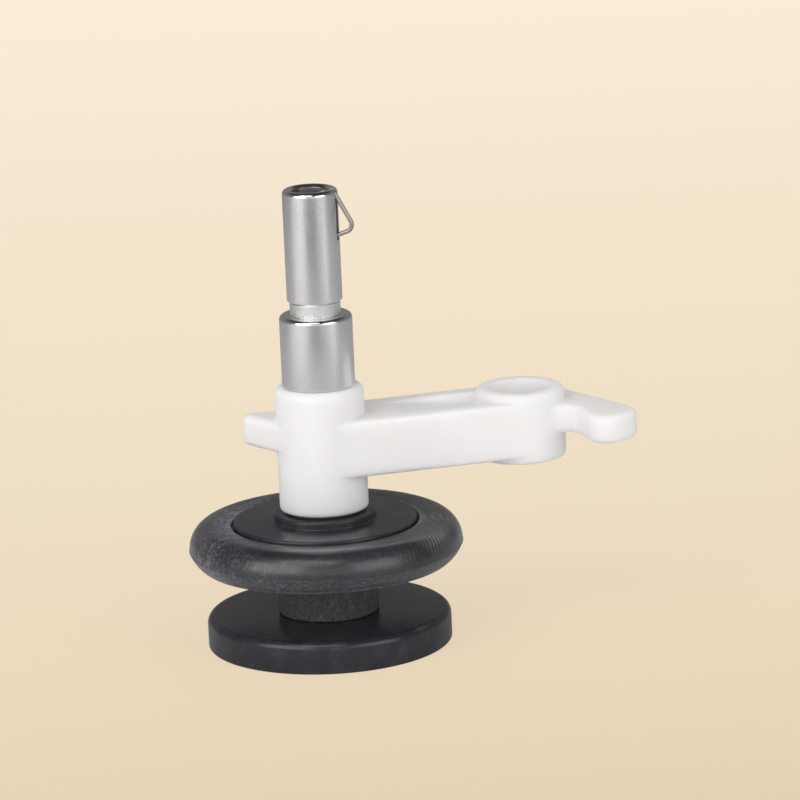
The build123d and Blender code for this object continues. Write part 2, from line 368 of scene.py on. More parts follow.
@dataclass(frozen=True)
class ChromePlate(Finish):
    """Satin-bright chrome plate with polished rims, a rough relief groove and painted shade in its
    bore.

    A wall is where its marks begin and are full, out from its radius. A band is its
    height above the groove's foot or top, and its softness.
    """

    groove_foot: float
    groove_top: float
    groove_radius: float
    bore_radius: float
    name: str = "chrome_plate"
    colour: Triple = (0.93, 0.92, 0.925)
    dull: Triple = (0.5, 0.5, 0.515)
    bright: Triple = (0.9, 0.895, 0.885)
    # dark colour of the pits in the groove, and of the painted shade inside the bore
    pitted_and_bore_shade: Triple = (0.34, 0.33, 0.33)
    groove_wall: Span = (0.5, 0.1)
    groove_ends: Span = (0.1, 0.2)
    foot_band: Span = (0.45, 0.8)
    seat_band: Span = (8.5, 5.0)
    bore_wall: Span = (0.12, 0.02)
    pitting: Span = (0.08, 0.75)
    dulling: Span = (0.1, 0.3)
    # painted shade: the least and the most darkening inside the bore
    bore_shade: Span = (0.5, 0.95)
    satin: Span = (0.27, 0.35)
    polish: float = -0.25
    polished_tilt: Span = (0.15, 0.5)
    groove_roughness: float = 0.2
    grain: Pattern = Pattern(2.2, 3.0, stretch=(1.0, 1.0, 0.22))
    pits: Pattern = Pattern(3.4, 4.0, 0.7, levels=(0.5, 0.64))
    mottle: Pattern = Pattern(4.5, 3.0, 0.7, levels=(0.36, 0.7))
    # painted shade: the patches of darkening inside the bore
    bore_shade_patches: Pattern = Pattern(1.1, 3.0)
    crust: Pattern = Pattern(5.0, 3.0, 0.65)
    crust_relief: float = 0.09
    grain_relief: float = 0.002
    peel: tuple = ((Pattern(3.6, 4.0, 0.65), 0.009), (Pattern(14.0, 3.0, 0.6), 0.0012))

    def dress(self, skin: Surface) -> None:
        """Plate the shaft, paint shade in its bore, polish what faces up or down and roughen the
        relief groove.

        Args:
            skin: the surface in the making.
        """
        foot_end, top_end = self.groove_ends
        in_groove = skin.times(
            skin.above(self.groove_foot, foot_end),
            skin.below(self.groove_top, top_end),
            skin.ramp(skin.radius, *(self.groove_radius + out for out in self.groove_wall)),
        )
        reach, softness = self.foot_band
        at_foot = skin.below(self.groove_foot + reach, softness)
        pits = skin.times(skin.noise(self.pits), in_groove, skin.between(at_foot, *self.pitting))
        groove = skin.mix(pits, self.bright, self.pitted_and_bore_shade)
        reach, softness = self.seat_band
        seat_end = skin.above(self.groove_top + reach, softness)
        dulled = skin.times(skin.noise(self.mottle), skin.between(seat_end, *self.dulling))
        # painted shade: the inside of the bore is darkened in patches towards the pitted colour
        in_bore = skin.ramp(skin.radius, *(self.bore_radius + out for out in self.bore_wall))
        bore_shade = skin.times(in_bore, skin.between(skin.noise(self.bore_shade_patches), *self.bore_shade))
        plate = skin.mix(dulled, self.colour, self.dull)
        plate = skin.mix(bore_shade, plate, self.pitted_and_bore_shade)
        normal = skin.add("ShaderNodeNewGeometry").outputs["Normal"]
        upward = skin.add("ShaderNodeSeparateXYZ", {0: normal}).outputs[2]
        polished = skin.ramp(skin.math("ABSOLUTE", upward), *self.polished_tilt)
        grain = skin.noise(self.grain)
        satin = skin.plus(skin.between(grain, *self.satin), skin.times(polished, self.polish))
        roughened = skin.times(in_groove, self.groove_roughness)
        skin.set(
            Base_Color=skin.mix(in_groove, plate, groove),
            Metallic=1.0,
            Roughness=skin.plus(satin, roughened, clamp=True),
        )
        crust = skin.times(in_groove, skin.noise(self.crust))
        skin.bump((crust, self.crust_relief), *self.peel, (grain, self.grain_relief))


@dataclass(frozen=True)
class Grained(Finish):
    """Plain finish whose tone, gloss and relief follow one grain."""

    name: str
    colour: Triple
    grain: Pattern
    low_tone: float
    roughness: Span
    relief: float
    metallic: float = 1.0

    def dress(self, skin: Surface) -> None:
        """Let the grain set the tone, the gloss and the relief.

        Args:
            skin: the surface in the making.
        """
        grain = skin.noise(self.grain)
        low = [channel * self.low_tone for channel in self.colour]
        skin.set(
            Base_Color=skin.mix(grain, low, self.colour),
            Metallic=self.metallic,
            Roughness=skin.between(grain, *self.roughness),
        )
        skin.bump((grain, self.relief))


DRAWN_WIRE = Grained(
    "drawn_wire", (0.55, 0.505, 0.475), Pattern(5.0, 3.0, stretch=(1.0, 1.0, 0.2)),
    low_tone=0.8, roughness=(0.38, 0.5), relief=0.004,
)
ZINC_PLATE = Grained(
    "zinc_plate", (0.56, 0.56, 0.55), Pattern(3.0, 4.0, 0.6),
    low_tone=0.8, roughness=(0.28, 0.45), relief=0.006,
)
PLAIN_NYLON = Grained(
    "plain_nylon", (0.03, 0.03, 0.032), Pattern(4.0, 3.0),
    low_tone=0.93, roughness=(0.38, 0.52), relief=0.004, metallic=0.0,
)


@dataclass(frozen=True)
class BlackMoulding(Finish):
    """Black moulded plastic with a soft gloss, light dust and handling marks."""

    name: str = "black_moulding"
    colour: Triple = (0.020, 0.0195, 0.025)
    dust: Triple = (0.25, 0.25, 0.28)
    haze: Pattern = Pattern(0.4, 3.0, 0.55, levels=(0.4, 0.85))
    haze_share: float = 0.1
    speck_spacing: float = 1.3
    speck_size: float = 0.05
    speck_relief: float = 0.02
    handling: Pattern = Pattern(0.7)
    roughness: Span = (0.19, 0.3)
    relief: tuple = ((Pattern(0.6), 0.012), (Pattern(9.0), 0.0007))

    def dress(self, skin: Surface) -> None:
        """Dust the black lightly and vary its gloss where hands touch it.

        Args:
            skin: the surface in the making.
        """
        specks = skin.specks(self.speck_spacing, self.speck_size)
        haze = skin.times(skin.noise(self.haze), self.haze_share)
        dust = skin.plus(haze, specks, clamp=True)
        skin.set(
            Base_Color=skin.mix(dust, self.colour, self.dust),
            Roughness=skin.between(skin.noise(self.handling), *self.roughness),
            IOR=1.52,
        )
        skin.bump(*self.relief, (specks, self.speck_relief))


@dataclass(frozen=True)
class TyreRubber(Finish):
    """Moulded black rubber with a blue-grey bloom, fine turned marks and a painted highlight along
    its inner lip.

    A reach is where a layer begins and where it is full: out from the lip, up from the
    foot, to the left of the axis or along X. A band is a height above the ridge, and
    its softness. A share is the least and the most of a layer that shows.
    """

    ridge_height: float
    foot_height: float
    lip_radius: float
    name: str = "tyre_rubber"
    colour: Triple = (0.012, 0.012, 0.016)
    # colour of the bloom, and of the painted highlight along the lip
    bloom: Triple = (0.21, 0.218, 0.25)
    roughness: Span = (0.38, 0.62)
    swirl_centre: Triple = (14.6, -4.8, 9.2)
    swirl_spacing: float = 1.6
    swirl_levels: Span = (0.7, 0.96)
    swirl_reach: Span = (3.0, 11.0)
    swirl_band: Span = (0.8, 0.8)
    swirl_strength: float = 0.5
    leftward: Triple = (-0.9, 0.45, 0.0)
    left_reach: Span = (0.0, 12.0)
    left_share: Span = (0.12, 0.8)
    # painted highlight, partly dust: the light line along the inner lip
    lip_dust_and_highlight_reach: Span = (0.7, 0.25)
    foot_reach: Span = (0.55, 0.1)
    edge_share: Span = (0.35, 1.0)
    # strength of the dust at the foot, and of the dust and painted highlight along the lip
    edge_dust_and_lip_highlight: float = 0.95
    film_reach: Span = (3.4, 0.6)
    film_strength: float = 1.1
    patch_strength: float = 0.03
    flank_softness: float = 0.3
    flank_strength: float = 0.36
    mark_relief: float = 0.02
    wander: float = 4.0
    drift: Pattern = Pattern(0.12)
    marks: Pattern = Pattern(4.2, 1.0)
    patches: Pattern = Pattern(0.12, 4.0, 0.6, levels=(0.3, 0.66))
    scuffs: Pattern = Pattern(2.6, 5.0, 0.74, (1.0, 1.0, 1.7), (0.42, 0.74))
    wisps: Pattern = Pattern(0.9, 5.0, 0.74, (0.4, 1.7, 1.0), (0.5, 0.68))
    wear: Pattern = Pattern(0.35, levels=(0.36, 0.52))
    relief: tuple = ((Pattern(3.0, 5.0, 0.7), 0.024), (Pattern(14.0), 0.003))

    def dress(self, skin: Surface) -> None:
        """Lay the bloom and the painted lip highlight on the black, and turn fine marks into its
        skin.

        Args:
            skin: the surface in the making.
        """
        bloom = self.bloom_and_lip_highlight(skin)
        drift = skin.times(skin.noise(self.drift), self.wander)
        across, up = skin.plus(skin.radius, drift), skin.plus(skin.z, drift)
        turned = skin.out("ShaderNodeCombineXYZ", {0: across, 1: up})
        skin.set(
            Base_Color=skin.mix(bloom, self.colour, self.bloom),
            Roughness=skin.between(bloom, *self.roughness),
            IOR=1.45,
            Coat_Weight=1.0,
            Coat_Roughness=0.26,
            Sheen_Weight=0.06,
            Sheen_Roughness=0.2,
        )
        skin.bump((skin.noise(self.marks, turned), self.mark_relief), *self.relief)

    def bloom_and_lip_highlight(self, skin: Surface) -> Socket:
        """Lay the bloom: smeared on the left, dusty at the foot, dust and a painted highlight
        along the lip, ringed on the right.

        Args:
            skin: the surface in the making.
        Returns:
            How much bloom and painted lip highlight shows, 0 to 1.
        """
        patches, scuffs = skin.noise(self.patches), skin.noise(self.scuffs)
        smears = skin.plus(scuffs, skin.noise(self.wisps), clamp=True)
        left = skin.vector("DOT_PRODUCT", skin.place, self.leftward)
        left = skin.ramp(left, *self.left_reach)
        # painted highlight, partly dust, in a line along the inner lip
        lip_dust_and_highlight = skin.ramp(skin.radius, *(self.lip_radius + out for out in self.lip_dust_and_highlight_reach))
        near_lip = skin.ramp(skin.radius, *(self.lip_radius + out for out in self.film_reach))
        at_foot = skin.ramp(skin.z, *(self.foot_height + up for up in self.foot_reach))
        at_edges = skin.between(scuffs, *self.edge_share)
        swirl = {"Distortion": 1.4, "Detail": 2.0, "Detail Scale": 0.5}
        swirl["Vector"] = skin.vector("SUBTRACT", skin.place, self.swirl_centre)
        swirl["Scale"] = 1 / self.swirl_spacing
        kind = {"wave_type": "RINGS", "rings_direction": "SPHERICAL"}
        rings = skin.add("ShaderNodeTexWave", swirl, **kind).outputs["Fac"]
        rings = skin.ramp(rings, *self.swirl_levels)
        height, softness = self.swirl_band
        crown = skin.above(self.ridge_height + height, softness)
        crowned = skin.times(skin.ramp(skin.x, *self.swirl_reach), crown)
        flank = skin.below(self.ridge_height, self.flank_softness)
        return skin.plus(
            skin.times(patches, smears, skin.between(left, *self.left_share)),
            # dust at the foot, and dust with a painted highlight along the lip
            skin.times(skin.plus(lip_dust_and_highlight, at_foot), at_edges, self.edge_dust_and_lip_highlight),
            skin.times(near_lip, left, smears, self.film_strength),
            skin.times(rings, crowned, skin.noise(self.wear), self.swirl_strength),
            skin.times(patches, self.patch_strength),
            skin.times(flank, scuffs, self.flank_strength),
            clamp=True,
        )


@dataclass(frozen=True)
class GroundRubber(Finish):
    """Matt black rubber with a ground, dusty skin."""

    name: str = "ground_rubber"
    colour: Triple = (0.022, 0.022, 0.024)
    dust: Triple = (0.24, 0.24, 0.25)
    dustiness: Span = (0.12, 0.9)
    roughness: Span = (0.7, 0.92)
    slant: Triple = (0.0, 0.6, 0.5)
    grit: Pattern = Pattern(4.0, 6.0, 0.8, (1.0, 1.0, 0.6), (0.4, 0.75))
    scratches: Pattern = Pattern(1.6, 5.0, 0.75, (0.5, 1.0, 3.2), (0.54, 0.72))
    grit_share: float = 0.55
    scratch_share: float = 0.6
    relief: tuple = ((Pattern(3.0, 5.0, 0.7), 0.05), (Pattern(16.0), 0.006))

    def dress(self, skin: Surface) -> None:
        """Streak the black with dust, in ground-in grit and slanted scratches.

        Args:
            skin: the surface in the making.
        """
        slanted = skin.out("ShaderNodeMapping", {"Vector": skin.place, "Rotation": self.slant})
        grit = skin.times(skin.noise(self.grit), self.grit_share)
        scratches = skin.times(skin.noise(self.scratches, slanted), self.scratch_share)
        streaks = skin.plus(grit, scratches, clamp=True)
        dusty = skin.between(streaks, *self.dustiness)
        skin.set(
            Base_Color=skin.mix(dusty, self.colour, self.dust),
            Roughness=skin.between(streaks, *self.roughness),
            IOR=1.5,
        )
        skin.bump(*self.relief)


# ---- mesh handling


def outline_mesh(points: Sequence[tuple[Vector, float]], closed: bool) -> Mesh:
    """Make a chain of edges that carries a rounding at each point.

    Args:
        points: each place in millimetres, with its rounding.
        closed: join the last point to the first.
    Returns:
        The edges, in metres.
    """
    places, radii = zip(*points)
    count = len(places)
    edges = [(i, (i + 1) % count) for i in range(count if closed else count - 1)]
    mesh = bpy.data.meshes.new("outline")
    mesh.from_pydata([place * MM for place in places], edges, [])
    rounding = mesh.attributes.new(ROUNDING, "FLOAT", "POINT")
    rounding.data.foreach_set("value", [radius * MM for radius in radii])
    return mesh


def ring_section(node: str, bore: float, bore_edge: float, rim_edge: float) -> list[Corner]:
    """Outline a plain ring that fills its node's box.

    Args:
        node: the frame node.
        bore: radius of its hole.
        bore_edge: rounding at the hole.
        rim_edge: rounding at the rim.
    Returns:
        The section's corners.
    """
    low, high = node_box(node)
    inside, rim = (bore, bore_edge), (high.x, rim_edge)
    ends = ((low.z, (inside, rim)), (high.z, (rim, inside)))
    return [(radius, level, edge) for level, order in ends for radius, edge in order]


def node_mesh(node: str, finish: Material) -> Mesh:
    """Copy a frame node's own form, in a new finish.

    Args:
        node: the frame node.
        finish: the copy's material.
    Returns:
        The copy, without the node's shading.
    """
    mesh = frame["nodes"][node].data.copy()
    mesh.materials.clear()
    mesh.materials.append(finish)
    for shading in ("custom_normal", "sharp_face", "sharp_edge"):
        if shading in mesh.attributes:
            mesh.attributes.remove(mesh.attributes[shading])
    return mesh


def plain_mesh(source: Object, *spent: Object) -> Mesh:
    """Keep what an object's modifiers make of it.

    Args:
        source: the object, which is removed with its mesh.
        spent: others that are removed with theirs.
    Returns:
        The mesh, with no modifier.
    """
    evaluated = source.evaluated_get(bpy.context.evaluated_depsgraph_get())
    mesh = bpy.data.meshes.new_from_object(evaluated)
    for used in (source, *spent):
        bpy.data.meshes.remove(used.data)
    return mesh


def finished_object(name: str, mesh: Mesh, crease: float = CREASE) -> Object:
    """Put a mesh in the scene with outward faces and crisp creases.

    Args:
        name: the object's name.
        mesh: its mesh, already in place.
        crease: angle in degrees above which an edge stays sharp.
    Returns:
        The object, at the origin.
    """
    work = bmesh.new()
    work.from_mesh(mesh)
    bmesh.ops.remove_doubles(work, verts=work.verts, dist=WELD)
    bmesh.ops.dissolve_degenerate(work, edges=work.edges, dist=SLIVER)
    bmesh.ops.recalc_face_normals(work, faces=work.faces)
    work.to_mesh(mesh)
    work.free()
    mesh.name = name
    mesh.shade_smooth()
    mesh.set_sharp_from_angle(angle=math.radians(crease))
    return put_in_scene(name, mesh)


class Block(NamedTuple):
    """A cutting block, turned about the spindle axis by a number of degrees."""

    low: Triple
    high: Triple
    turn: float = 0.0


def cut(piece: Object, *blocks: Block) -> Object:
    """Take blocks out of a piece.

    Args:
        piece: what is cut.
        blocks: what goes, in millimetres.
    Returns:
        A new object of the same name.
    """
    cutters = []
    for low, high, turn in blocks:
        low, high = Vector(low) * MM, Vector(high) * MM
        size, centre = high - low, (high + low) / 2
        spot = Matrix.Rotation(math.radians(turn), 4, "Z") @ Matrix.Translation(centre)
        mesh = bpy.data.meshes.new("block")
        work = bmesh.new()
        bmesh.ops.create_cube(work, size=1.0, matrix=spot @ Matrix.Diagonal((*size, 1.0)))
        work.to_mesh(mesh)
        work.free()
        cutters.append(put_in_scene("block", mesh))
        tool = piece.modifiers.new("cut", "BOOLEAN")
        tool.operation, tool.solver, tool.object = "DIFFERENCE", "EXACT", cutters[-1]
    name = piece.name
    return finished_object(name, plain_mesh(piece, *cutters))


class Held(NamedTuple):
    """Where a springy piece stops following what holds it, in millimetres."""

    node: str
    start: Vector
    end: Vector


def install(piece: Object, node: str, held_by: Held | None = None) -> None:
    """Let a piece stand for its node, on that node's body, or baked in place when it is held.

    Args:
        piece: the finished piece.
        node: the frame node that it replaces.
        held_by: what holds one end of a springy piece; when given, the piece is only baked in
            place and does not bend.
    """
    if held_by:
        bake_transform(piece)
    else:
        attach(piece, BODY_OF[node])
    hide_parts(node)
    log.info("%s stands for %s: %d faces", piece.name, node, len(piece.data.polygons))


# ---- geometry node trees


class TreeInput(Enum):
    """Named inputs of the trees, with their socket types."""

    GEOMETRY = ("Geometry", "NodeSocketGeometry")
    MATERIAL = ("Finish", "NodeSocketMaterial")
    TURN_STEPS = ("Turn Steps", "NodeSocketInt")
    CORNER_STEPS = ("Corner Steps", "NodeSocketInt")
    WIRE_RADIUS = ("Wire Radius", "NodeSocketFloat")


class ShapeTree(Graph):
    """A Geometry Nodes tree that turns an outline's edges into a finished mesh."""

    INPUTS: tuple[TreeInput, ...]

    def __init__(self, name: str) -> None:
        """Build the tree, with the named inputs that a modifier sets.

        Args:
            name: what the tree is called.
        """
        super().__init__(bpy.data.node_groups.new(name, "GeometryNodeTree"))
        inputs = (TreeInput.GEOMETRY, TreeInput.MATERIAL, *self.INPUTS)
        self.identifiers = {item: self.add_socket(item, "INPUT") for item in inputs}
        self.add_socket(TreeInput.GEOMETRY, "OUTPUT")
        self.sources = self.add("NodeGroupInput").outputs
        self.build()

    def add_socket(self, item: TreeInput, side: str) -> str:
        """Add an input or output to the tree, and give its identifier."""
        name, kind = item.value
        return self.tree.interface.new_socket(name, in_out=side, socket_type=kind).identifier

    def given(self, item: TreeInput) -> Socket:
        """The socket that brings one of the inputs into the tree."""
        return self.sources[item.value[0]]

    def build(self) -> None:
        """Add the tree's own nodes and close it."""
        raise NotImplementedError

    def rounded_outline(self) -> Socket:
        """Make the edges a curve, with each corner rounded by its own radius.

        Returns:
            The curve.
        """
        kind = "GeometryNodeInputNamedAttribute"
        inputs = {
            "Curve": self.out("GeometryNodeMeshToCurve", {0: self.given(TreeInput.GEOMETRY)}),
            "Radius": self.out(kind, {"Name": ROUNDING}, data_type="FLOAT"),
            "Limit Radius": True,
            "Count": self.given(TreeInput.CORNER_STEPS),
        }
        return self.out("GeometryNodeFilletCurve", inputs, mode="POLY")

    def circle(self, steps: int | Socket, radius: Value) -> Socket:
        """Add a circle, by its steps and its radius in metres."""
        inputs = {"Resolution": steps, "Radius": radius}
        return self.out("GeometryNodeCurvePrimitiveCircle", inputs, mode="RADIUS")

    def close(self, path: Socket, profile: Socket, capped: bool) -> None:
        """Sweep the profile along the path, and send out the realised, dressed mesh.

        Args:
            path: the curve that is followed.
            profile: the curve that follows it.
            capped: close the two ends.
        """
        finish = self.given(TreeInput.MATERIAL)
        for kind, inputs in (
            ("CurveToMesh", {"Profile Curve": profile, "Fill Caps": capped}),
            ("MergeByDistance", {"Distance": WELD}),
            ("RealizeInstances", {}),
            ("SetMaterial", {"Material": finish}),
        ):
            path = self.out("GeometryNode" + kind, {0: path, **inputs})
        self.add("NodeGroupOutput", {0: path})

    def make(self, name: str, outline: Mesh, finish: Material, *values: float) -> Object:
        """Run the tree on an outline and keep the plain mesh.

        Args:
            name: the piece's name.
            outline: mesh of the outline's points and edges.
            finish: the piece's material.
            values: the tree's own inputs in order.
        Returns:
            The piece, with no modifier.
        """
        seed = put_in_scene(name + "_outline", outline)
        modifier = seed.modifiers.new("shape", "NODES")
        modifier.node_group = self.tree
        modifier[self.identifiers[TreeInput.MATERIAL]] = finish
        for item, value in zip(self.INPUTS, values):
            modifier[self.identifiers[item]] = value
        return finished_object(name, plain_mesh(seed))


class TurningTree(ShapeTree):
    """Turns a section in the XZ plane about the spindle axis."""

    INPUTS = (TreeInput.TURN_STEPS, TreeInput.CORNER_STEPS)
    TURN_STEPS, CORNER_STEPS = 256, 6
    PATH_RADIUS = 1.0 * MM

    def build(self) -> None:
        """Lay the rounded section flat and sweep it round a circle."""
        place = self.out("GeometryNodeInputPosition")
        x, _, z = self.add("ShaderNodeSeparateXYZ", {0: place}).outputs
        across, down = self.math("SUBTRACT", x, self.PATH_RADIUS), self.times(z, -1.0)
        flat = self.out("ShaderNodeCombineXYZ", {0: across, 1: down})
        inputs = {"Geometry": self.rounded_outline(), "Position": flat}
        profile = self.out("GeometryNodeSetPosition", inputs)
        circle = self.circle(self.given(TreeInput.TURN_STEPS), self.PATH_RADIUS)
        upright = self.out("GeometryNodeSetCurveNormal", {0: circle}, mode="Z_UP")
        self.close(upright, profile, capped=False)

    def turn(
        self, name: str, section: Sequence[Corner], finish: Material, closed: bool = True
    ) -> Object:
        """Turn a section.

        Args:
            name: the piece's name.
            section: each corner's radius and height, and its rounding where it isn't sharp.
            finish: the piece's material.
            closed: the section closes on itself, as a ring's does.
        Returns:
            The turned piece.
        """
        points = [(Vector((radius, 0.0, level)), sum(edge)) for radius, level, *edge in section]
        outline = outline_mesh(points, closed)
        return self.make(name, outline, finish, self.TURN_STEPS, self.CORNER_STEPS)


class WireTree(ShapeTree):
    """Draws a round wire along a bent path."""

    INPUTS = (TreeInput.CORNER_STEPS, TreeInput.WIRE_RADIUS)
    SIDES = 24

    def build(self) -> None:
        """Round the path's bends and sweep the wire's section along it."""
        section = self.circle(self.SIDES, self.given(TreeInput.WIRE_RADIUS))
        self.close(self.rounded_outline(), section, capped=True)


# ---- the sub-assemblies


def arc(centre: Span, radii: Span, start: float, sweep: float, steps: int) -> list[Corner]:
    """Step along an arc of a circle or an ellipse.

    Args:
        centre: its centre, as radius and height.
        radii: its half widths along the two.
        start: angle in radians where it starts.
        sweep: angle that it covers.
        steps: how many corners it has.
    Returns:
        The corners after the start.
    """
    turns = [start + sweep * i / steps for i in range(1, steps + 1)]
    return [
        (centre[0] + radii[0] * math.cos(turn), centre[1] + radii[1] * math.sin(turn))
        for turn in turns
    ]


@dataclass
class Spindle:
    """Chrome spindle with its bored, slotted seat, and the bobbin spring.

    Each bend of the wire is its distance out from the axis, its depth below the top
    and its rounding. A groove is its foot, its top and its radius.
    """

    lathe: TurningTree
    drive_flat: float = 2.05
    shoulder_length: float = 7.82
    shoulder_rounding: float = 0.5
    shoulder_foot_rounding: float = 0.08
    relief_radius: float = 2.75
    relief_length: float = 1.38
    relief_fillets: Span = (0.12, 0.04)
    seat_radius: float = 3.0
    seat_length: float = 12.37
    seat_rim: float = 0.5
    seat_foot_edge: float = 0.225
    seat_foot_rounding: float = 0.1
    bore_radius: float = 2.0
    bore_depth: float = 12.0
    bore_edge: float = 0.3
    bore_roundings: Triple = (0.06, 0.06, 0.05)
    drill_half_angle: float = 59.0
    ring_groove: Triple = (0.87, 1.43, 1.95)
    end_edge: float = 0.3
    slot_width: float = 0.56
    slot_depth: float = 5.58
    slot_direction: float = -35.0
    overcut: float = 1.0
    journal_radius: float = 2.5
    wire_radius: float = 0.24
    bend_steps: int = 12
    bends: tuple[Triple, ...] = (
        (-0.7, 2.95, 0.0), (-0.15, 1.35, 0.6), (1.45, 0.31, 0.6), (2.1, 0.31, 0.0),
        (2.76, 0.31, 0.45), (4.97, 4.23, 0.8), (2.6, 5.16, 0.5), (1.1, 5.28, 0.0),
    )
    held_at: Span = (1.3, 0.31)
    free_at: Span = (2.9, 1.11)

    def __post_init__(self) -> None:
        """Read the shaft's levels from its node."""
        self.foot, self.top = (corner.z for corner in node_box("spindle_shaft"))
        self.seat_foot = self.top - self.seat_length
        self.relief_foot = self.seat_foot - self.relief_length

    def build(self) -> None:
        """Make the shaft and the spring."""
        self.build_shaft()
        self.build_spring()

    def section(self) -> list[Corner]:
        """Outline the shaft from its foot to the bottom of its bore.

        Returns:
            The section's corners, both ends on the axis.
        """
        shoulder = node_box("spindle_shaft").high.x
        shoulder_foot = self.relief_foot - self.shoulder_length
        groove_foot, groove_top, groove = self.ring_groove
        relief_low, relief_high = self.relief_fillets
        rim, wall, floor = self.bore_roundings
        journal, seat, bore = self.journal_radius, self.seat_radius, self.bore_radius
        bore_floor = self.top - self.bore_depth
        drill_point = bore / math.tan(math.radians(self.drill_half_angle))
        return [
            (0, self.foot),
            (journal - self.end_edge, self.foot),
            (journal, self.foot + self.end_edge),
            (journal, groove_foot),
            (groove, groove_foot),
            (groove, groove_top),
            (journal, groove_top),
            (journal, shoulder_foot),
            (shoulder, shoulder_foot, self.shoulder_foot_rounding),
            (shoulder, self.relief_foot, self.shoulder_rounding),
            (self.relief_radius, self.relief_foot, relief_low),
            (self.relief_radius, self.seat_foot, relief_high),
            (seat, self.seat_foot + self.seat_foot_edge, self.seat_foot_rounding),
            (seat, self.top, self.seat_rim),
            (bore + self.bore_edge, self.top, rim),
            (bore, self.top - self.bore_edge, wall),
            (bore, bore_floor, floor),
            (0, bore_floor - drill_point),
        ]

    def build_shaft(self) -> None:
        """Turn the shaft, then cut its drive flat and the spring's slot."""
        finish = ChromePlate(
            self.relief_foot, self.seat_foot, self.relief_radius, self.bore_radius
        ).material()
        blank = self.lathe.turn("shaft_chromed", self.section(), finish, closed=False)
        half, wide = self.slot_width / 2, self.journal_radius + self.overcut
        slot = Block(
            (self.bore_radius / 2, -half, self.top - self.slot_depth),
            (self.seat_radius + self.overcut, half, self.top + self.overcut),
            self.slot_direction,
        )
        collar_top = node_box("wheel_hub").high.z
        flat = Block((self.drive_flat, -wide, -self.overcut), (wide, wide, collar_top))
        install(cut(blank, slot, flat), "spindle_shaft")

    def build_spring(self) -> None:
        """Draw the spring's wire along its bends, in the plane of the slot."""
        bends = [(self.in_slot(out, depth), rounding) for out, depth, rounding in self.bends]
        path, tree = outline_mesh(bends, closed=False), WireTree("wire_drawing")
        sizes = (self.bend_steps, self.wire_radius * MM)
        wire = tree.make("spring_wire", path, DRAWN_WIRE.material(), *sizes)
        held = Held("spindle_shaft", self.in_slot(*self.held_at), self.in_slot(*self.free_at))
        install(wire, "bobbin_spring", held)

    def in_slot(self, out: float, depth: float) -> Vector:
        """Place a point in the slot's plane, by its distance out and its depth below the top."""
        angle = math.radians(self.slot_direction)
        return Vector((out * math.cos(angle), out * math.sin(angle), self.top - depth))


